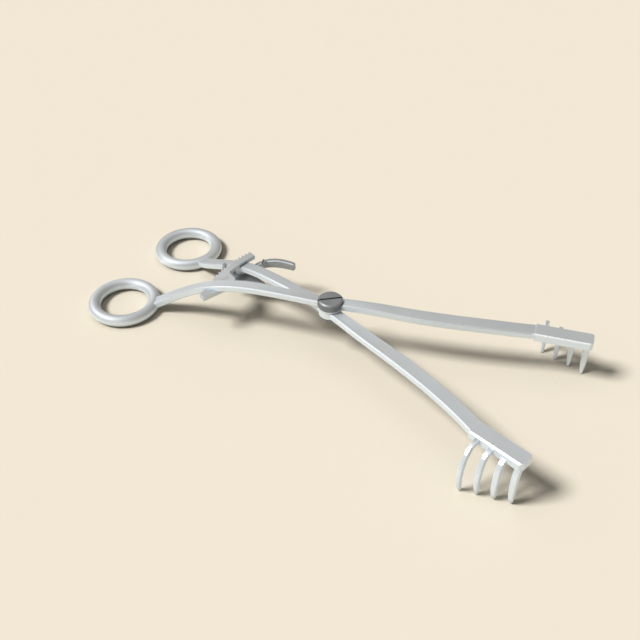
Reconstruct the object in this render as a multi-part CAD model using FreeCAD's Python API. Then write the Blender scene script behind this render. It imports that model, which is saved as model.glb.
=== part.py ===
import FreeCAD, Part
import math
import os

os.makedirs("parts", exist_ok=True)

V = FreeCAD.Vector
UP = V(0, 0, 1)

# Self-retaining surgical retractor, lying on its finger rings and its prong tips.
# Millimetres. +X points from the rings to the blades, +Z is up, the table is z = 0.
# Sizes are given from the pivot axis, and the finished pieces are moved along X at the end.

# Finger rings
RING_X = -84.9
RING_Y = 21.65
RING_OUTER_DIAMETER = 29.0
RING_WIRE_DIAMETER = 4.8

# Forged arms: a shank from the ring, a crossing at the pivot and a limb out to the blade
ARM_THICKNESS = 2.6
ARM_EDGE_BEVEL = 0.35
ARM_GAP = 0.16
CROSSING_HEIGHT = 20.0

# Stations of one arm: x, distance from the long axis, width, how far the mean of the two arms lies
# below the crossing, and how far each arm lies above or below that mean.
SHANK_STATIONS = (
    (-70.0, 14.9, 5.2, 15.4, 0.15),
    (-60.0, 12.0, 4.8, 9.7, 0.9),
    (-50.0, 10.5, 4.7, 5.0, 1.6),
    (-40.0, 8.3, 4.7, 2.0, 1.6),
    (-28.0, 5.5, 4.7, 0.5, 1.45),
)
CROSSING_STATIONS = (-12.0, 2.2, 4.5), (10.0, 4.1, 4.9)
LIMB_STATIONS = (
    (24.0, 8.7, 5.5, 0.3, 1.1),
    (42.0, 15.0, 5.8, 0.55, 0.6),
    (60.0, 22.6, 5.8, 1.0, 0.15),
)

# Claw blades
BLADE_X = 70.6
BLADE_Y = 28.1
BLADE_ANGLE = 14.4
BLADE_LENGTH = 20.9
BLADE_WIDTH = 6.5
BLADE_THICKNESS = 3.2
BLADE_DROP = 0.4
BLADE_OUTER_BEVEL = 0.5
BLADE_EDGE_BEVEL = 0.35
BLADE_CORNER = 1.15

# Prongs, counted from the proximal end of the blade
PRONG_COUNT = 4
PRONG_FIRST = 4.3
PRONG_PITCH = 5.05
PRONG_WIDTH_FIRST = 1.75
PRONG_WIDTH_STEP = 0.18
PRONG_DEPTH = 1.9
PRONG_TIP_SIZE = 1.0
PRONG_EDGE_BEVEL = 0.28
PRONG_EMBED = 1.5
PRONG_ROOT_DROP = 2.3
PRONG_REACH_FIRST = 7.15
PRONG_REACH_STEP = 2.65
PRONG_LEAN = 0.1
# Shape of the bow: each has a part of its own and a part that grows with the claw's reach
PRONG_SHOULDER = 0.1
PRONG_SHOULDER_GROWTH = 0.82
PRONG_RISE = -0.3
PRONG_RISE_GROWTH = 0.6
PRONG_BOW = 2.2
PRONG_BOW_GROWTH = 0.135
PRONG_BOW_HEIGHT = 9.5

# Pivot
SCREW_HEAD_DIAMETER = 9.4
SCREW_HEAD_HEIGHT = 3.07
SCREW_HEAD_CHAMFER = 0.5
SPOT_FACE_DEPTH = 1.7
SLOT_WIDTH = 0.8
SLOT_DEPTH = 1.1
SLOT_ANGLE = 40.5
SHANK_DIAMETER = 4.0
EYE_DIAMETER = 8.8
NUT_DIAMETER = 7.4
NUT_HEIGHT = 2.4
SCREW_END = 0.6
RUNNING_CLEARANCE = 0.05
SEAT_CLEARANCE = 0.01

# Ratchet bar, an arc about the pivot axis
RACK_TIP_RADIUS = 50.9
RACK_TOOTH_DEPTH = 0.9
RACK_WIDTH = 2.7
RACK_THICKNESS = 1.7
RACK_COVER = 0.94
RACK_PITCH_ANGLE = 2.0
RACK_FREE_END = 19.0
RACK_TEETH_START = -7.0
FLANK_FOOT = 0.05
FLANK_TIP = 0.13
TOOTH_LAND_END = 0.23
RACK_TAB_OUTER = -18.2
RACK_TAB_END = -20.9
RACK_TAB_INNER = -14.6
RACK_TAB_FLARE = 1.9
RACK_TAB_BEVEL = 0.5
GUSSET_START = 1.2
GUSSET_SHOULDER = 4.4
GUSSET_SHOULDER_ANGLE = -1.5
GUSSET_DEPTH = 5.6
GUSSET_SPREAD = 8.7
CHANNEL_DEPTH_CLEARANCE = 0.1
CHANNEL_SIDE_CLEARANCE = 0.25
RACK_SCREW_DIAMETER = 1.2
RACK_SCREW_HEAD = 2.1
RACK_SCREW_LENGTH = 2.3
RACK_SCREW_SPACING = 2.6
RACK_SCREW_SLOT = 0.3
RACK_SEAT_ANGLE = -12.0

# Release lever and its pin, under the lower arm's shank
LEVER_SETBACK = 2.7
LEVER_OFFSET = 0.096
LEVER_RACK_GAP = 4.3
LEVER_PLATE_THICKNESS = 2.0
LEVER_HUB_DIAMETER = 4.8
LEVER_PIN_DIAMETER = 2.0
LEVER_PIN_HEAD_DIAMETER = 3.8
LEVER_PIN_HEAD_HEIGHT = 0.8
TOE_ANGLE = 5.0
TOE_WIDTH = 1.5
TOE_LENGTH = 1.5
TOE_OVERLAP = 0.9
TOE_CLEARANCE = 0.15
TOE_POINT = 0.2
TOE_RAMP = 2.2
LEVER_DROP = 9.5
# Two corners of the lever's plate, from the pin
LEVER_PLATE_TIP = (12.9, -1.6)
LEVER_PLATE_SIDE = (-0.4, -6.2)
LEVER_EDGE_BEVEL = 0.35
LEVER_PIN_DROP = 0.8
# Stations of the thumb piece: x and y from the pin, height of its centre over the plate, width and depth
LEVER_STATIONS = (
    (2.6, 3.2, -0.6, 2.8, 2.1),
    (5.0, 5.2, 1.1, 2.3, 2.6),
    (8.0, 6.7, 2.7, 2.2, 3.1),
    (12.2, 8.1, 3.7, 2.1, 3.5),
    (16.2, 9.0, 3.9, 2.0, 3.5),
    (20.0, 9.2, 4.1, 1.9, 3.2),
)

# Leaf spring of the lever
SPRING_THICKNESS = 0.4
SPRING_HEIGHT = 1.4
SPRING_RISE = 0.1
SPRING_REACH = 15.6
SPRING_FOOT_LENGTH = 3.4
SPRING_BEND_RADIUS = 6.0
SPRING_BEND_ANGLE = 78.0
SPRING_RIVET_DIAMETER = 0.9
SPRING_RIVET_HEAD = 1.3
SPRING_RIVET_HEAD_HEIGHT = 0.4
SPRING_RIVET_LENGTH = 1.6


def polar(radius, degrees, z=0.0):
    """A point by its distance from the pivot axis and its angle from the ring side of the long axis."""
    a = math.radians(degrees)
    return V(-radius * math.cos(a), radius * math.sin(a), z)


def bevelled_section(centre, along, side, width, depth, bevel):
    """A rectangle with bevelled corners across the direction `along`; its width lies along `side`."""
    rise = along.cross(side).normalize()
    w = width / 2
    d = depth / 2
    near_top = ((w, d - bevel), (w - bevel, d))
    far_top = ((bevel - w, d), (-w, d - bevel))
    far_bottom = ((-w, bevel - d), (bevel - w, -d))
    near_bottom = ((w - bevel, -d), (w, bevel - d))
    outline = near_top + far_top + far_bottom + near_bottom
    corners = [centre + side * x + rise * y for x, y in outline]
    return Part.Wire(line_edges(corners + corners[:1]))


def directions(points):
    """The direction of travel at each point of a path, from its two neighbours."""
    found = []
    for i in range(len(points)):
        before = points[max(i - 1, 0)]
        after = points[min(i + 1, len(points) - 1)]
        found.append((after - before).normalize())
    return found


def bar_loft(points, widths, depths, bevel):
    """A smooth bar through the points, its width level and its long edges bevelled."""
    wires = []
    for point, along, width, depth in zip(points, directions(points), widths, depths):
        side = UP.cross(along).normalize()
        wires.append(bevelled_section(point, along, side, width, depth, bevel))
    return Part.makeLoft(wires, True, False)


def mirrored(shape):
    """The same form on the other side of the long axis."""
    return shape.mirror(V(0, 0, 0), V(0, 1, 0))


def column(x, y, bottom, top, diameter):
    """An upright cylinder between two heights."""
    return Part.makeCylinder(diameter / 2, top - bottom, V(x, y, bottom))


def prism(edges, bottom, top):
    """A closed outline, drawn at height 0, made solid between two heights."""
    face = Part.Face(Part.Wire(edges))
    face.translate(V(0, 0, bottom))
    return face.extrude(V(0, 0, top - bottom))


def arc_edge(radius, start, end):
    """An arc about the pivot axis between two angles."""
    middle = (start + end) / 2
    return Part.Arc(polar(radius, start), polar(radius, middle), polar(radius, end)).toShape()


def line_edges(points):
    """Straight edges from each point to the next."""
    return [Part.LineSegment(a, b).toShape() for a, b in zip(points, points[1:])]


def shank_at(x):
    """Distance from the long axis, width, drop and lift of a shank at x, between its stations."""
    for low, high in zip(SHANK_STATIONS, SHANK_STATIONS[1:]):
        if x <= high[0]:
            break
    share = (x - low[0]) / (high[0] - low[0])
    return [a + (b - a) * share for a, b in zip(low[1:], high[1:])]


# Heights at the crossing
UPPER_BOTTOM = CROSSING_HEIGHT + ARM_GAP / 2
UPPER_TOP = UPPER_BOTTOM + ARM_THICKNESS
LOWER_TOP = CROSSING_HEIGHT - ARM_GAP / 2
LOWER_BOTTOM = LOWER_TOP - ARM_THICKNESS
EYE_TOP = UPPER_TOP - SPOT_FACE_DEPTH
HEAD_BOTTOM = EYE_TOP + RUNNING_CLEARANCE
SCREW_HEAD_TOP = HEAD_BOTTOM + SCREW_HEAD_HEIGHT
NUT_BOTTOM = LOWER_BOTTOM - NUT_HEIGHT
BLADE_TOP = CROSSING_HEIGHT - BLADE_DROP

# The lever's pin stands in the shank beside the ratchet bar, which is let into the other shank from below
LEVER_X = LEVER_SETBACK - RACK_TIP_RADIUS
SHANK_Y, SHANK_WIDTH, SHANK_DROP, SHANK_LIFT = shank_at(LEVER_X)
LEVER_Y = SHANK_Y + LEVER_OFFSET
RACK_TOP = CROSSING_HEIGHT - SHANK_DROP + SHANK_LIFT + ARM_THICKNESS / 2 - RACK_COVER
RACK_BOTTOM = RACK_TOP - RACK_THICKNESS
RACK_ROOT_RADIUS = RACK_TIP_RADIUS - RACK_TOOTH_DEPTH
RACK_INNER_RADIUS = RACK_ROOT_RADIUS - RACK_WIDTH
LEVER_PLATE_TOP = RACK_BOTTOM - LEVER_RACK_GAP
LEVER_PLATE_BOTTOM = LEVER_PLATE_TOP - LEVER_PLATE_THICKNESS
SPRING_BOTTOM = RACK_BOTTOM + SPRING_RISE
SPRING_FOOT_X = LEVER_X + SPRING_REACH


def ring_centre():
    return V(RING_X, -RING_Y, RING_WIRE_DIAMETER / 2)


def finger_ring():
    """A round finger ring that lies on the table."""
    wire_radius = RING_WIRE_DIAMETER / 2
    middle_radius = RING_OUTER_DIAMETER / 2 - wire_radius
    return Part.makeTorus(middle_radius, wire_radius, ring_centre(), UP)


def arm_stations(level):
    """Path, widths and thicknesses of an arm. level is 1 for the upper arm and -1 for the lower."""
    x, y, width, drop, lift = SHANK_STATIONS[0]
    toward = V(x - RING_X, RING_Y - y, 0).normalize()
    middle_radius = (RING_OUTER_DIAMETER - RING_WIRE_DIAMETER) / 2
    points = [ring_centre() + toward * middle_radius]
    widths = [width]
    for x, y, width, drop, lift in SHANK_STATIONS:
        points.append(V(x, -y, CROSSING_HEIGHT - drop + level * lift))
        widths.append(width)
    crossing = CROSSING_HEIGHT + level * (ARM_THICKNESS + ARM_GAP) / 2
    for (x, y, width), side in zip(CROSSING_STATIONS, (-1, 1)):
        points.append(V(x, side * y, crossing))
        widths.append(width)
    for x, y, width, drop, lift in LIMB_STATIONS:
        points.append(V(x, y, CROSSING_HEIGHT - drop + level * lift))
        widths.append(width)
    a = math.radians(BLADE_ANGLE)
    inside = ARM_THICKNESS / 2
    end_height = BLADE_TOP - BLADE_EDGE_BEVEL / 2 - ARM_THICKNESS / 2
    points.append(V(BLADE_X + inside * math.cos(a), BLADE_Y + inside * math.sin(a), end_height))
    widths.append(widths[-1])
    return points, widths


def blade_bar():
    """The bevelled bar of a claw blade, along X from the origin with its outer side toward +Y."""
    half = BLADE_WIDTH / 2
    t = BLADE_THICKNESS
    corners = [
        V(0, -half, 0),
        V(0, half, 0),
        V(0, half, t - BLADE_OUTER_BEVEL),
        V(0, half - BLADE_OUTER_BEVEL, t),
        V(0, -half + BLADE_EDGE_BEVEL, t),
        V(0, -half, t - BLADE_EDGE_BEVEL),
    ]
    section = Part.Face(Part.Wire(line_edges(corners + corners[:1])))
    bar = section.extrude(V(BLADE_LENGTH, 0, 0))
    corner = BLADE_CORNER
    for side in (-1, 1):
        cut = [
            V(BLADE_LENGTH - corner, side * half, 0),
            V(BLADE_LENGTH + corner, side * half, 0),
            V(BLADE_LENGTH + corner, side * (half - 2 * corner), 0),
        ]
        bar = bar.cut(prism(line_edges(cut + cut[:1]), -1, t + 1))
    return bar


def prong(index):
    """One claw: out of the bar's side, down in a bow and back a little to its blunt tip."""
    reach = PRONG_REACH_FIRST - PRONG_REACH_STEP * index
    place = PRONG_FIRST + PRONG_PITCH * index
    full_width = PRONG_WIDTH_FIRST + PRONG_WIDTH_STEP * index
    lean = PRONG_LEAN * reach
    shoulder = PRONG_SHOULDER + PRONG_SHOULDER_GROWTH * reach
    rise = PRONG_RISE + PRONG_RISE_GROWTH * reach
    bow = PRONG_BOW + PRONG_BOW_GROWTH * reach
    side = BLADE_WIDTH / 2
    root = BLADE_THICKNESS - PRONG_ROOT_DROP
    table = BLADE_THICKNESS - BLADE_TOP
    tip = table + math.sin(math.atan2(bow, PRONG_BOW_HEIGHT)) * PRONG_TIP_SIZE / 2
    control = (
        V(place - lean, side - PRONG_EMBED, root),
        V(place - lean / 2, side + shoulder, root + rise),
        V(place, side + reach + bow, tip + PRONG_BOW_HEIGHT),
        V(place, side + reach, tip),
    )
    sizes = ((0, 1), (0.25, 1), (0.5, 1), (0.8, 0.88), (1, 0))
    wires = []
    for t, fullness in sizes:
        u = 1 - t
        weights = (u ** 3, 3 * u * u * t, 3 * u * t * t, t ** 3)
        centre = V(0, 0, 0)
        for w, c in zip(weights, control):
            centre = centre + c * w
        slopes = (u * u, 2 * u * t, t * t)
        along = V(0, 0, 0)
        for w, a, b in zip(slopes, control, control[1:]):
            along = along + (b - a) * w
        width = PRONG_TIP_SIZE + (full_width - PRONG_TIP_SIZE) * fullness
        depth = PRONG_TIP_SIZE + (PRONG_DEPTH - PRONG_TIP_SIZE) * fullness
        section = bevelled_section(centre, along.normalize(), V(1, 0, 0), width, depth, PRONG_EDGE_BEVEL)
        wires.append(section)
    return Part.makeLoft(wires, True, False)


def claw_blade():
    """Bar and prongs in one piece, placed at the end of the limb on the +Y side."""
    blade = blade_bar()
    for index in range(PRONG_COUNT):
        blade = blade.fuse(prong(index))
    blade.rotate(V(0, 0, 0), UP, BLADE_ANGLE)
    blade.translate(V(BLADE_X, BLADE_Y, BLADE_TOP - BLADE_THICKNESS))
    return blade


def forging(level):
    """One arm before machining: ring, shank, crossing, limb and blade in one piece of steel."""
    points, widths = arm_stations(level)
    thicknesses = [ARM_THICKNESS] * len(points)
    arm = bar_loft(points, widths, thicknesses, ARM_EDGE_BEVEL)
    eye_bottom = UPPER_BOTTOM if level > 0 else LOWER_BOTTOM
    eye = column(0, 0, eye_bottom, eye_bottom + ARM_THICKNESS, EYE_DIAMETER)
    return arm.fuse([finger_ring(), eye, claw_blade()])


def upper_arm():
    arm = forging(1)
    head_room = SCREW_HEAD_DIAMETER + 4 * RUNNING_CLEARANCE
    arm = arm.cut(column(0, 0, EYE_TOP, SCREW_HEAD_TOP, head_room))
    arm = arm.cut(column(0, 0, LOWER_TOP, UPPER_TOP, SHANK_DIAMETER + 2 * RUNNING_CLEARANCE))
    arm = arm.cut(prism(rack_outline(False), LEVER_PLATE_BOTTOM, RACK_TOP))
    for x, y in rack_screw_places():
        diameter = RACK_SCREW_DIAMETER + 2 * SEAT_CLEARANCE
        arm = arm.cut(column(x, y, RACK_BOTTOM, RACK_BOTTOM + RACK_SCREW_LENGTH, diameter))
    return arm.removeSplitter()


def lower_arm():
    arm = mirrored(forging(-1))
    boss_bottom = LEVER_PLATE_TOP + 2 * RUNNING_CLEARANCE
    arm = arm.fuse(column(LEVER_X, LEVER_Y, boss_bottom, pin_top() - ARM_THICKNESS / 2, LEVER_HUB_DIAMETER))
    arm = arm.cut(rack_channel())
    arm = arm.cut(column(0, 0, NUT_BOTTOM, UPPER_BOTTOM, SHANK_DIAMETER + 2 * SEAT_CLEARANCE))
    arm = arm.cut(column(LEVER_X, LEVER_Y, LEVER_PLATE_BOTTOM, RACK_BOTTOM,
                         LEVER_PIN_DIAMETER + 2 * SEAT_CLEARANCE))
    return arm.cut(spring_rivet_shank(SEAT_CLEARANCE)).removeSplitter()


def rack_channel():
    """The shallow track in the lower arm's top face that the ratchet bar slides over."""
    inner = RACK_INNER_RADIUS - CHANNEL_SIDE_CLEARANCE
    outer = RACK_TIP_RADIUS + CHANNEL_SIDE_CLEARANCE
    bottom = RACK_BOTTOM - CHANNEL_DEPTH_CLEARANCE
    ring = column(0, 0, bottom, CROSSING_HEIGHT, 2 * outer)
    ring = ring.cut(column(0, 0, bottom, CROSSING_HEIGHT, 2 * inner))
    far_side = Part.makeBox(outer, outer, CROSSING_HEIGHT, V(-outer, 0, 0))
    return ring.common(far_side)


def pivot_screw():
    """Slotted cheese-head screw with a chamfered rim."""
    head = column(0, 0, HEAD_BOTTOM, SCREW_HEAD_TOP, SCREW_HEAD_DIAMETER)
    rim = [e for e in head.Edges if e.Length > 1 and abs(e.CenterOfMass.z - SCREW_HEAD_TOP) < 0.01]
    head = head.makeChamfer(SCREW_HEAD_CHAMFER, rim)
    slot = Part.makeBox(2 * SCREW_HEAD_DIAMETER, SLOT_WIDTH, SLOT_DEPTH)
    slot.translate(V(-SCREW_HEAD_DIAMETER, -SLOT_WIDTH / 2, SCREW_HEAD_TOP - SLOT_DEPTH))
    slot.rotate(V(0, 0, 0), UP, SLOT_ANGLE)
    shank = column(0, 0, NUT_BOTTOM - SCREW_END, HEAD_BOTTOM, SHANK_DIAMETER)
    return head.cut(slot).fuse(shank).removeSplitter()


def pivot_nut():
    """Round nut under the crossing, with chamfered rims and two spanner slots."""
    nut = column(0, 0, NUT_BOTTOM, LOWER_BOTTOM, NUT_DIAMETER)
    rim = [e for e in nut.Edges if abs(e.CenterOfMass.z - NUT_BOTTOM) < 0.01]
    nut = nut.makeChamfer(SCREW_HEAD_CHAMFER, rim)
    slot = Part.makeBox(2 * NUT_DIAMETER, SLOT_WIDTH, SLOT_DEPTH / 2)
    slot.translate(V(-NUT_DIAMETER, -SLOT_WIDTH / 2, NUT_BOTTOM))
    bore = column(0, 0, NUT_BOTTOM, LOWER_BOTTOM, SHANK_DIAMETER + 2 * SEAT_CLEARANCE)
    return nut.cut(slot).cut(bore)


def rack_teeth():
    """Points of the toothed edge, from the free end toward the root."""
    count = int((RACK_FREE_END - RACK_TEETH_START) / RACK_PITCH_ANGLE)
    gaps_above = int((RACK_FREE_END - TOE_ANGLE) / RACK_PITCH_ANGLE)
    first_gap = TOE_ANGLE + gaps_above * RACK_PITCH_ANGLE
    points = []
    for i in range(count):
        gap = first_gap - i * RACK_PITCH_ANGLE
        points.append(polar(RACK_ROOT_RADIUS, gap + FLANK_FOOT * RACK_PITCH_ANGLE))
        points.append(polar(RACK_ROOT_RADIUS, gap - FLANK_FOOT * RACK_PITCH_ANGLE))
        points.append(polar(RACK_TIP_RADIUS, gap - FLANK_TIP * RACK_PITCH_ANGLE))
        points.append(polar(RACK_TIP_RADIUS, gap - TOOTH_LAND_END * RACK_PITCH_ANGLE))
    return points


def rack_outline(toothed):
    """Plan of the ratchet bar; without its teeth it is the pocket that it sits in."""
    root, inner = RACK_ROOT_RADIUS, RACK_INNER_RADIUS
    spread_end = GUSSET_START - GUSSET_SPREAD
    edges = []
    if toothed:
        teeth = rack_teeth()
        start = polar(inner, RACK_FREE_END)
        edges += line_edges([start] + teeth + [polar(root, RACK_TEETH_START - RACK_PITCH_ANGLE)])
    else:
        edges += line_edges([polar(inner, RACK_FREE_END), polar(root, RACK_FREE_END)])
        edges.append(arc_edge(root, RACK_FREE_END, RACK_TEETH_START - RACK_PITCH_ANGLE))
    edges.append(arc_edge(root, RACK_TEETH_START - RACK_PITCH_ANGLE, RACK_SEAT_ANGLE))
    edges += line_edges([
        polar(root, RACK_SEAT_ANGLE),
        polar(root + RACK_TAB_FLARE, RACK_TAB_OUTER),
        polar(root - RACK_TAB_BEVEL, RACK_TAB_END),
        polar(inner - RACK_TAB_FLARE, RACK_TAB_INNER),
        polar(inner - GUSSET_DEPTH, spread_end),
        polar(inner - GUSSET_SHOULDER, GUSSET_SHOULDER_ANGLE),
        polar(inner, GUSSET_START),
    ])
    edges.append(arc_edge(inner, GUSSET_START, RACK_FREE_END))
    return edges


def rack_screw_places():
    """The two screws stand side by side under the middle of the upper arm."""
    radius = (RACK_ROOT_RADIUS + RACK_INNER_RADIUS) / 2
    half = math.degrees(RACK_SCREW_SPACING / radius) / 2
    return [(p.x, p.y) for p in (polar(radius, RACK_SEAT_ANGLE + s * half) for s in (-1, 1))]


def ratchet_bar():
    bar = prism(rack_outline(True), RACK_BOTTOM, RACK_TOP)
    for x, y in rack_screw_places():
        bar = bar.cut(column(x, y, RACK_BOTTOM, RACK_TOP, RACK_SCREW_DIAMETER + 2 * SEAT_CLEARANCE))
        bar = bar.cut(countersink(x, y, SEAT_CLEARANCE))
    return bar


def countersink(x, y, clearance):
    """The cone of a flush screw head in the underside of the ratchet bar."""
    height = (RACK_SCREW_HEAD - RACK_SCREW_DIAMETER) / 2
    return Part.makeCone(RACK_SCREW_HEAD / 2 + clearance, RACK_SCREW_DIAMETER / 2 + clearance,
                         height, V(x, y, RACK_BOTTOM))


def ratchet_screws():
    """Two slotted countersunk screws, flush with the underside of the ratchet bar."""
    screws = []
    for x, y in rack_screw_places():
        screw = countersink(x, y, 0)
        screw = screw.fuse(column(x, y, RACK_BOTTOM, RACK_BOTTOM + RACK_SCREW_LENGTH, RACK_SCREW_DIAMETER))
        slot = Part.makeBox(RACK_SCREW_HEAD, RACK_SCREW_SLOT, RACK_SCREW_SLOT)
        slot.translate(V(x - RACK_SCREW_HEAD / 2, y - RACK_SCREW_SLOT / 2, RACK_BOTTOM))
        screws.append(screw.cut(slot).removeSplitter())
    return Part.makeCompound(screws)


def lever_toe():
    """Web and upright toe, drawn home in a tooth gap and then swung out by the lever's drop."""
    home = RACK_ROOT_RADIUS + TOE_CLEARANCE / 2
    shoulder = RACK_TIP_RADIUS + TOE_CLEARANCE
    back = shoulder + TOE_LENGTH
    half_body = math.degrees(TOE_WIDTH / 2 / RACK_TIP_RADIUS)
    half_point = math.degrees(TOE_POINT / 2 / RACK_TIP_RADIUS)
    flank = FLANK_TIP * RACK_PITCH_ANGLE
    nose = [
        polar(home, TOE_ANGLE - half_point),
        polar(home, TOE_ANGLE + half_point),
        polar(shoulder, TOE_ANGLE + flank * TOE_RAMP),
        polar(shoulder, TOE_ANGLE + half_body),
        polar(back, TOE_ANGLE + half_body),
        polar(back, TOE_ANGLE - half_body),
        polar(shoulder, TOE_ANGLE - half_body),
        polar(shoulder, TOE_ANGLE - half_point),
    ]
    toe = prism(line_edges(nose + nose[:1]), LEVER_PLATE_BOTTOM, RACK_BOTTOM + TOE_OVERLAP)
    pin = V(LEVER_X, LEVER_Y, 0)
    reach = polar((shoulder + back) / 2, TOE_ANGLE) - pin
    across = V(-reach.y, reach.x, 0).normalize() * (LEVER_PIN_DIAMETER * 0.75)
    web = [pin + across, pin + reach + across * 0.65, pin + reach - across * 0.65, pin - across]
    toe = toe.fuse(prism(line_edges(web + web[:1]), LEVER_PLATE_BOTTOM, LEVER_PLATE_TOP))
    toe.rotate(pin, UP, -LEVER_DROP)
    return toe


def lever_plate():
    """Flat plate from the hub forward under the lower arm's shank."""
    pin = V(LEVER_X, LEVER_Y, 0)
    tip = pin + V(*LEVER_PLATE_TIP, 0)
    forward = (tip - pin).normalize()
    far = pin + V(-forward.y, forward.x, 0) * (LEVER_HUB_DIAMETER / 2)
    back = pin - forward * (LEVER_HUB_DIAMETER / 2)
    outline = line_edges([back, pin + V(*LEVER_PLATE_SIDE, 0), tip, far, back])
    return prism(outline, LEVER_PLATE_BOTTOM, LEVER_PLATE_TOP)


def release_lever():
    """Thumb lever: hub, plate, toe and a tail that rises outside the handle and curves forward."""
    middle = (LEVER_PLATE_TOP + LEVER_PLATE_BOTTOM) / 2
    pin = V(LEVER_X, LEVER_Y, LEVER_PLATE_TOP)
    points = [V(LEVER_X, LEVER_Y, middle)] + [pin + V(x, y, z) for x, y, z, w, d in LEVER_STATIONS]
    widths = [LEVER_STATIONS[0][3]] + [w for x, y, z, w, d in LEVER_STATIONS]
    depths = [LEVER_PLATE_THICKNESS] + [d for x, y, z, w, d in LEVER_STATIONS]
    tail = bar_loft(points, widths, depths, LEVER_EDGE_BEVEL)
    hub = column(LEVER_X, LEVER_Y, LEVER_PLATE_BOTTOM, LEVER_PLATE_TOP, LEVER_HUB_DIAMETER)
    lever = hub.fuse([tail, lever_plate(), lever_toe()])
    lever = lever.cut(column(LEVER_X, LEVER_Y, 0, LEVER_PLATE_BOTTOM, 4 * LEVER_HUB_DIAMETER))
    bore = LEVER_PIN_DIAMETER + 2 * RUNNING_CLEARANCE
    lever = lever.cut(column(LEVER_X, LEVER_Y, 0, pin_top(), bore))
    return lever.removeSplitter()


def pin_top():
    """The pin ends just under the track of the ratchet bar."""
    return RACK_BOTTOM - LEVER_PIN_DROP


def lever_pin():
    """Headed pin, pressed into the lower arm from below."""
    head_top = LEVER_PLATE_BOTTOM - RUNNING_CLEARANCE
    pin = column(LEVER_X, LEVER_Y, head_top, pin_top(), LEVER_PIN_DIAMETER)
    head = column(LEVER_X, LEVER_Y, head_top - LEVER_PIN_HEAD_HEIGHT, head_top, LEVER_PIN_HEAD_DIAMETER)
    rim = [e for e in head.Edges if abs(e.CenterOfMass.z - head_top + LEVER_PIN_HEAD_HEIGHT) < 0.01]
    return pin.fuse(head.makeChamfer(LEVER_PIN_HEAD_HEIGHT / 3, rim)).removeSplitter()


def shank_side(x):
    """Distance from the long axis to the outer side of a shank."""
    distance, width, drop, lift = shank_at(x)
    return distance + width / 2


def spring_foot():
    """Both ends of the spring's foot, on the outer side of the lower arm's shank."""
    back = SPRING_FOOT_X - SPRING_FOOT_LENGTH
    return V(SPRING_FOOT_X, shank_side(SPRING_FOOT_X), 0), V(back, shank_side(back), 0)


def lever_spring(arm, lever):
    """Leaf spring on edge: its foot lies on the shank and its free end curls toward the lever."""
    front, back = spring_foot()
    along = (back - front).normalize()
    outward = V(along.y, -along.x, 0)
    centre = back + outward * SPRING_BEND_RADIUS

    def on_bend(radius, degrees):
        a = math.radians(degrees)
        return centre - outward * (radius * math.cos(a)) + along * (radius * math.sin(a))

    edges = []
    for radius, sense in ((SPRING_BEND_RADIUS, 1), (SPRING_BEND_RADIUS - SPRING_THICKNESS, -1)):
        foot = front + outward * (SPRING_BEND_RADIUS - radius)
        bend = [on_bend(radius, SPRING_BEND_ANGLE * share) for share in (0, 0.5, 1)]
        edges += line_edges([foot, bend[0]])
        edges.append(Part.Arc(*bend).toShape())
    inner, outer = edges[0].firstVertex().Point, edges[2].firstVertex().Point
    edges += line_edges([inner, outer])
    outer_tip = on_bend(SPRING_BEND_RADIUS, SPRING_BEND_ANGLE)
    inner_tip = on_bend(SPRING_BEND_RADIUS - SPRING_THICKNESS, SPRING_BEND_ANGLE)
    edges += line_edges([outer_tip, inner_tip])
    wire = Part.Wire(Part.__sortEdges__(edges))
    face = Part.Face(wire)
    face.translate(V(0, 0, SPRING_BOTTOM))
    strip = face.extrude(V(0, 0, SPRING_HEIGHT)).cut(arm).cut(lever)
    strip = max(strip.Solids, key=lambda solid: solid.Volume)
    return strip.cut(spring_rivet_shank(SEAT_CLEARANCE))


def spring_rivet_place():
    """Where the rivet's head rests on the spring's foot, and the way that its shank points."""
    front, back = spring_foot()
    along = (back - front).normalize()
    outward = V(along.y, -along.x, 0)
    place = (front + back) * 0.5 + outward * SPRING_THICKNESS
    return place + UP * (SPRING_BOTTOM + SPRING_HEIGHT / 2), outward * -1


def spring_rivet_shank(clearance):
    place, inward = spring_rivet_place()
    return Part.makeCylinder(SPRING_RIVET_DIAMETER / 2 + clearance, SPRING_RIVET_LENGTH, place, inward)


def spring_rivet():
    """Small rivet with a low head, through the spring's foot into the shank."""
    place, inward = spring_rivet_place()
    head = Part.makeCylinder(SPRING_RIVET_HEAD / 2, SPRING_RIVET_HEAD_HEIGHT, place, inward * -1)
    return head.fuse(spring_rivet_shank(0)).removeSplitter()


def build():
    """All pieces, centred over the origin along the long axis."""
    arm = lower_arm()
    lever = release_lever()
    pieces = {
        "upper_arm": upper_arm(),
        "lower_arm": arm,
        "pivot_screw": pivot_screw(),
        "pivot_nut": pivot_nut(),
        "ratchet_bar": ratchet_bar(),
        "ratchet_screws": ratchet_screws(),
        "release_lever": lever,
        "lever_pin": lever_pin(),
        "lever_spring": lever_spring(arm, lever),
        "spring_rivet": spring_rivet(),
    }
    for shape in pieces.values():
        shape.translate(V(pivot_x(), 0, 0))
    return pieces


def pivot_x():
    """The pivot's place along X, half way from the rings' reach to the blades' reach."""
    a = math.radians(BLADE_ANGLE)
    corner = BLADE_WIDTH / 2 - BLADE_CORNER
    blade_reach = BLADE_X + BLADE_LENGTH * math.cos(a) + corner * math.sin(a)
    ring_reach = RING_OUTER_DIAMETER / 2 - RING_X
    return (ring_reach - blade_reach) / 2


for name, shape in build().items():
    print(name, len(shape.Solids), shape.isValid(), round(shape.Volume, 1))
    shape.exportStep("parts/" + name + ".step")
print("pivot x", round(pivot_x(), 4))
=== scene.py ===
import math

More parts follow.
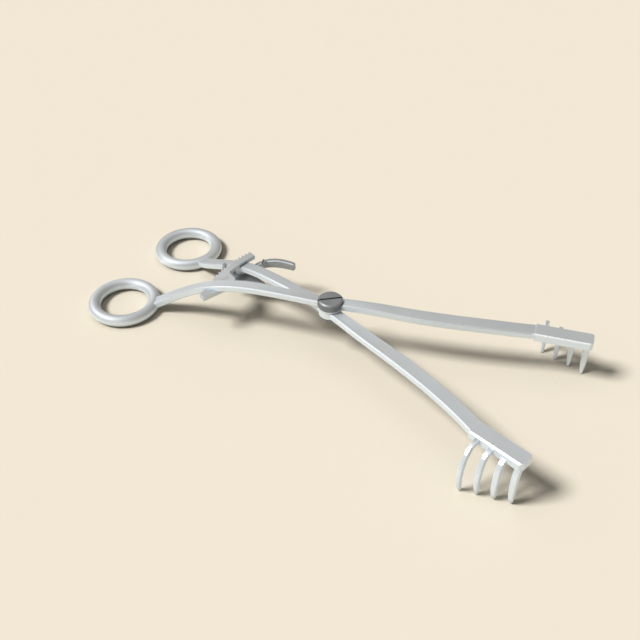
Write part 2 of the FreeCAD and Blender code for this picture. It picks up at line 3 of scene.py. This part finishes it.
import bpy
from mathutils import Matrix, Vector


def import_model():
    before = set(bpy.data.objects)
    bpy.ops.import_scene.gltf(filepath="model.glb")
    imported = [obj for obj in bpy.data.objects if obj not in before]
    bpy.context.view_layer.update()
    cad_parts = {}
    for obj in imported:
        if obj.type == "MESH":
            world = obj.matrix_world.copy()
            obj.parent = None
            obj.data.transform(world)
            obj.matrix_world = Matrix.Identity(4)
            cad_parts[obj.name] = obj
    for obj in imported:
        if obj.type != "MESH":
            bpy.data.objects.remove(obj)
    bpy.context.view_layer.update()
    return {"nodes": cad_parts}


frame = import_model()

# The pivot screw's place; lengths are in metres
PIVOT = Vector((0.0040172, 0.0, 0.0))

# Camera, with its lens and sensor in millimetres
CAMERA_PLACE = Vector((0.132657, -0.22392, 0.23207))
CAMERA_AIM = Vector((-0.007563, 0.01181, 0.0))
CAMERA_LENS = 50.0
CAMERA_SENSOR = 36.0
CAMERA_CLIP = (0.01, 20.0)

# Table and backdrop; the table's colour holds painted shade, a little darker where the tool hides
# the sky
FLOOR_SIZE = 12.0
FLOOR_COLOUR = (0.888, 0.807, 0.665)
FLOOR_SHADE = 0.80
FLOOR_SKY_DISTANCE = 0.06
FLOOR_SKY_RANGE = (0.55, 1.0)
BACKDROP_COLOUR = (0.888, 0.81, 0.675)

# Strength of the even light from all round
FILL = 0.09

# Each lamp: direction of travel, height and angular size in degrees, then strength
LAMPS = {
    "key": (43.0, 51.0, 18.0, 3.28),
    "broad": (30.0, 60.0, 70.0, 0.35),
}

# Steel; a noise's scale is per metre, and its values lie mostly in NOISE_RANGE
METALLIC = 0.65
ANISOTROPY = 0.3
NOISE_RANGE = (0.3, 0.7)
SAMPLES = 6

# Fine grain along the tool, and soft smudges over it: each changes the roughness a little
GRAIN_SCALE = (90.0, 5200.0, 5200.0)
GRAIN_DETAIL = 6.0
GRAIN_ROUGHNESS = (-0.05, 0.07)
GRAIN_DEPTH = 0.00003
GRAIN_STRENGTH = 0.12
SMUDGE_SCALE = (70.0, 120.0, 120.0)
SMUDGE_DETAIL = 3.0
SMUDGE_ROUGHNESS = (-0.03, 0.05)
SMUDGE_SHADES = (0.95, 1.05)

# Painted light on the sides: levelness of a face that counts as upright, and of one that counts as
# level
LEVEL_RANGE = (0.15, 0.62)

# Worn edges, wear with a painted sheen: radius, agreement of the rounded and the true normal,
# strength and shade
EDGE_ROUNDING_RADIUS = 0.00022
WEAR_AND_SHEEN_RANGE = (0.90, 0.995)
WEAR_AND_SHEEN_STRENGTH = 0.6
WEAR_AND_SHEEN_SHADE = 1.08

# Painted shade in corners: how far a corner reaches, how open it is, and how dark the painted shade
# is
CORNER_DISTANCE = 0.0022
CORNER_RANGE = (0.2, 0.75)
PAINTED_CORNER_SHADE = 0.4

# The blades' bevels, polished and with a painted highlight: where the blades start along X, how
# level a bevel is, shade of the painted highlight and polish
BLADE_START = 0.0742
BLADE_BLEND = 0.001
BEVEL_LEVELNESS = 0.715
BEVEL_SPREAD = 0.10
BEVEL_HIGHLIGHT_SHADE = 1.06
BEVEL_POLISH = 0.32

# Each finish: colour of its satin faces, colour of its sides with painted light, roughness, painted
# shade in corners
FINISHES = {
    "satin_steel": ((0.45, 0.483, 0.52), (0.79, 0.87, 0.94), 0.60, 0.35),
    "ground_steel": ((0.445, 0.475, 0.505), (0.64, 0.70, 0.75), 0.55, 0.85),
    "dark_steel": ((0.215, 0.235, 0.255), (0.215, 0.24, 0.265), 0.44, 0.5),
    "lever_steel": ((0.25, 0.27, 0.29), (0.42, 0.45, 0.48), 0.52, 0.3),
    "spring_steel": ((0.30, 0.31, 0.32), (0.40, 0.42, 0.44), 0.34, 0.35),
}
FINISH_OF_NODE = {
    "upper_arm": "satin_steel",
    "lower_arm": "satin_steel",
    "ratchet_bar": "ground_steel",
    "pivot_screw": "dark_steel",
    "pivot_nut": "dark_steel",
    "ratchet_screws": "dark_steel",
    "lever_pin": "dark_steel",
    "spring_rivet": "dark_steel",
    "release_lever": "lever_steel",
    "lever_spring": "spring_steel",
}


def node(tree, kind, **settings):
    """A shader node with its settings and inputs set.

    An input goes by its name, or by its number as i0 or i1. A socket given as its value is linked.
    """
    made = tree.nodes.new(kind)
    for key, value in settings.items():
        if hasattr(made, key) and key not in made.inputs:
            setattr(made, key, value)
            continue
        numbered = key[0] == "i" and key[1:].isdigit()
        socket = made.inputs[int(key[1:]) if numbered else key]
        if isinstance(value, bpy.types.NodeSocket):
            tree.links.new(value, socket)
        else:
            socket.default_value = value
    return made


def fresh(name):
    """An empty node material."""
    material = bpy.data.materials.new(name)
    material.use_nodes = True
    tree = material.node_tree
    tree.nodes.clear()
    return material, tree


def streaks(tree, place, scale, detail):
    """Noise drawn out along the tool's length."""
    moved = node(tree, "ShaderNodeMapping", Vector=place, Scale=scale).outputs["Vector"]
    noise = node(tree, "ShaderNodeTexNoise", Vector=moved, Scale=1.0, Detail=detail)
    return noise.outputs["Fac"]


def ranged(tree, value, low, high, start=0.0, end=1.0):
    """The value stretched from start..end to low..high."""
    made = node(tree, "ShaderNodeMapRange", Value=value)
    made.inputs["From Min"].default_value = start
    made.inputs["From Max"].default_value = end
    made.inputs["To Min"].default_value = low
    made.inputs["To Max"].default_value = high
    return made.outputs["Result"]


def true_normal(tree):
    """The face's own normal."""
    return node(tree, "ShaderNodeNewGeometry").outputs["Normal"]


def edge_mask(tree):
    """1 along worn edges, which take wear and a painted sheen, and 0 on open faces, with the
    rounded normal that it comes from.
    """
    soft = node(tree, "ShaderNodeBevel", samples=SAMPLES, Radius=EDGE_ROUNDING_RADIUS).outputs["Normal"]
    dot = node(tree, "ShaderNodeVectorMath", operation="DOT_PRODUCT", i0=soft, i1=true_normal(tree))
    return ranged(tree, dot.outputs["Value"], 1.0, 0.0, *WEAR_AND_SHEEN_RANGE), soft


def math_node(tree, operation, *values, **settings):
    """The result of an operation on one to three values or sockets."""
    inputs = {"i" + str(i): value for i, value in enumerate(values)}
    return node(tree, "ShaderNodeMath", operation=operation, **inputs, **settings).outputs[0]


def levelness(tree):
    """How far a face looks up or down: 1 when level, 0 when upright."""
    height = node(tree, "ShaderNodeSeparateXYZ", Vector=true_normal(tree)).outputs["Z"]
    return math_node(tree, "ABSOLUTE", height)


def lean(tree):
    """0 on faces that look up or down, 1 on upright sides, which take painted light."""
    return ranged(tree, levelness(tree), 1.0, 0.0, *LEVEL_RANGE)


def ground_bevel(tree, place):
    """1 on the blades' slanted bevels and the prongs' bends, which are polished by grinding and get
    a painted highlight.
    """
    slanted = math_node(tree, "COMPARE", levelness(tree), BEVEL_LEVELNESS, BEVEL_SPREAD)
    along = node(tree, "ShaderNodeSeparateXYZ", Vector=place).outputs["X"]
    blade = ranged(tree, along, 0.0, 1.0, BLADE_START, BLADE_START + BLADE_BLEND)
    return math_node(tree, "MULTIPLY", slanted, blade)


def tint(tree, factor, low, high):
    """The colour between two, each a tuple or a socket."""
    made = node(tree, "ShaderNodeMix", data_type="RGBA")
    tree.links.new(factor, made.inputs["Factor"])
    for place, colour in ((6, low), (7, high)):
        if isinstance(colour, bpy.types.NodeSocket):
            tree.links.new(colour, made.inputs[place])
        else:
            made.inputs[place].default_value = tuple(colour) + (1.0,)
    return made.outputs[2]


def shade(colour, amount):
    """A darker or lighter colour."""
    return tuple(min(1.0, c * amount) for c in colour)


def steel(name, face, painted_bright_side, roughness, corner_shade):
    """Stainless steel, satin on its faces, with painted light that makes its upright sides
    brighter.

    It has fine grain along the length, soft smudges, worn edges with a painted sheen and painted
    shade in the corners.
    """
    material, tree = fresh(name)
    place = node(tree, "ShaderNodeTexCoord").outputs["Object"]
    grain = streaks(tree, place, GRAIN_SCALE, GRAIN_DETAIL)
    smudge = streaks(tree, place, SMUDGE_SCALE, SMUDGE_DETAIL)
    wear_and_sheen, soft_normal = edge_mask(tree)
    corner = node(tree, "ShaderNodeAmbientOcclusion", samples=SAMPLES, Distance=CORNER_DISTANCE)
    polish_and_highlight = ground_bevel(tree, place)

    colour = tint(tree, smudge, *[shade(face, amount) for amount in SMUDGE_SHADES])
    # Painted light: upright sides take the brighter side colour, level faces the darker face colour
    colour = tint(tree, lean(tree), colour, painted_bright_side)
    # Wear with a painted sheen: edges tinted towards a colour brighter than the sides' painted
    # light
    wear_and_sheen = ranged(tree, wear_and_sheen, 0.0, WEAR_AND_SHEEN_STRENGTH)
    colour = tint(tree, wear_and_sheen, colour, shade(painted_bright_side, WEAR_AND_SHEEN_SHADE))
    # Painted shade: corners and recesses found by ambient occlusion are tinted darker
    shade_in_corners = ranged(tree, corner.outputs["AO"], corner_shade, 0.0, *CORNER_RANGE)
    colour = tint(tree, shade_in_corners, colour, shade(face, PAINTED_CORNER_SHADE))
    # Painted highlight: the blades' bevels are tinted brighter than the sides' painted light
    colour = tint(tree, polish_and_highlight, colour, shade(painted_bright_side, BEVEL_HIGHLIGHT_SHADE))

    spread = [roughness + change for change in GRAIN_ROUGHNESS]
    streaked = ranged(tree, grain, *spread, *NOISE_RANGE)
    cloud = ranged(tree, smudge, *SMUDGE_ROUGHNESS, *NOISE_RANGE)
    clouded = math_node(tree, "ADD", streaked, cloud)
    polished = math_node(tree, "SUBTRACT", clouded, ranged(tree, polish_and_highlight, 0.0, BEVEL_POLISH))
    bump = node(tree, "ShaderNodeBump", Strength=GRAIN_STRENGTH, Distance=GRAIN_DEPTH, Height=grain,
                Normal=soft_normal)

    shader = node(tree, "ShaderNodeBsdfPrincipled")
    shader.inputs["Metallic"].default_value = METALLIC
    shader.inputs["Anisotropic"].default_value = ANISOTROPY
    tree.links.new(colour, shader.inputs["Base Color"])
    tree.links.new(polished, shader.inputs["Roughness"])
    tree.links.new(bump.outputs["Normal"], shader.inputs["Normal"])
    out = node(tree, "ShaderNodeOutputMaterial")
    tree.links.new(shader.outputs["BSDF"], out.inputs["Surface"])
    return material


def dress():
    """Each CAD piece gets its finish."""
    made = {name: steel(name, *values) for name, values in FINISHES.items()}
    for name, finish in FINISH_OF_NODE.items():
        piece = frame["nodes"][name]
        for i in range(len(piece.material_slots)):
            piece.material_slots[i].material = made[finish]


def floor():
    """A plain pale table top, with painted shade in its colour where the tool hides the sky."""
    bpy.ops.mesh.primitive_plane_add(size=FLOOR_SIZE, location=(0, 0, 0))
    plane = bpy.context.object
    plane.name = "table_top"
    material, tree = fresh("pale_table")
    shader = node(tree, "ShaderNodeBsdfDiffuse")
    # Painted shade: the table's colour darkens where ambient occlusion finds the tool hiding the
    # sky
    sky = node(tree, "ShaderNodeAmbientOcclusion", samples=2 * SAMPLES, Distance=FLOOR_SKY_DISTANCE)
    open_sky = ranged(tree, sky.outputs["AO"], 0.0, 1.0, *FLOOR_SKY_RANGE)
    colour = tint(tree, open_sky, shade(FLOOR_COLOUR, FLOOR_SHADE), FLOOR_COLOUR)
    tree.links.new(colour, shader.inputs["Color"])
    out = node(tree, "ShaderNodeOutputMaterial")
    tree.links.new(shader.outputs["BSDF"], out.inputs["Surface"])
    plane.data.materials.append(material)


def world():
    """Even fill light on everything; the camera and reflections see the pale backdrop."""
    made = bpy.data.worlds.new("studio")
    made.use_nodes = True
    bpy.context.scene.world = made
    tree = made.node_tree
    tree.nodes.clear()
    rays = node(tree, "ShaderNodeLightPath")
    seen = math_node(tree, "ADD", rays.outputs["Is Camera Ray"], rays.outputs["Is Glossy Ray"])
    seen = math_node(tree, "ADD", seen, rays.outputs["Is Transmission Ray"], use_clamp=True)
    fill = node(tree, "ShaderNodeBackground", Color=(1.0, 1.0, 1.0, 1.0), Strength=FILL)
    backdrop = node(tree, "ShaderNodeBackground", Color=BACKDROP_COLOUR + (1.0,), Strength=1.0)
    mixed = node(tree, "ShaderNodeMixShader", Fac=seen)
    tree.links.new(fill.outputs[0], mixed.inputs[1])
    tree.links.new(backdrop.outputs[0], mixed.inputs[2])
    out = node(tree, "ShaderNodeOutputWorld")
    tree.links.new(mixed.outputs[0], out.inputs["Surface"])


def lamps():
    """A soft key light from the left and a much broader one that softens its shadows."""
    for name, (azimuth, elevation, angle, strength) in LAMPS.items():
        light = bpy.data.lights.new(name, "SUN")
        light.energy = strength
        light.angle = math.radians(angle)
        made = bpy.data.objects.new(name, light)
        bpy.context.scene.collection.objects.link(made)
        a, e = math.radians(azimuth), math.radians(elevation)
        travel = Vector((math.cos(a) * math.cos(e), math.sin(a) * math.cos(e), -math.sin(e)))
        made.rotation_mode = "QUATERNION"
        made.rotation_quaternion = travel.to_track_quat("-Z", "Y")
        made.location = PIVOT - travel


def camera():
    """The photograph's viewpoint."""
    data = bpy.data.cameras.new("camera")
    data.lens = CAMERA_LENS
    data.sensor_width = CAMERA_SENSOR
    data.clip_start, data.clip_end = CAMERA_CLIP
    made = bpy.data.objects.new("camera", data)
    bpy.context.scene.collection.objects.link(made)
    made.location = CAMERA_PLACE
    made.rotation_mode = "QUATERNION"
    made.rotation_quaternion = (CAMERA_AIM - CAMERA_PLACE).to_track_quat("-Z", "Y")
    bpy.context.scene.camera = made


camera()
floor()
world()
lamps()
dress()
bpy.context.scene.view_settings.view_transform = "Standard"
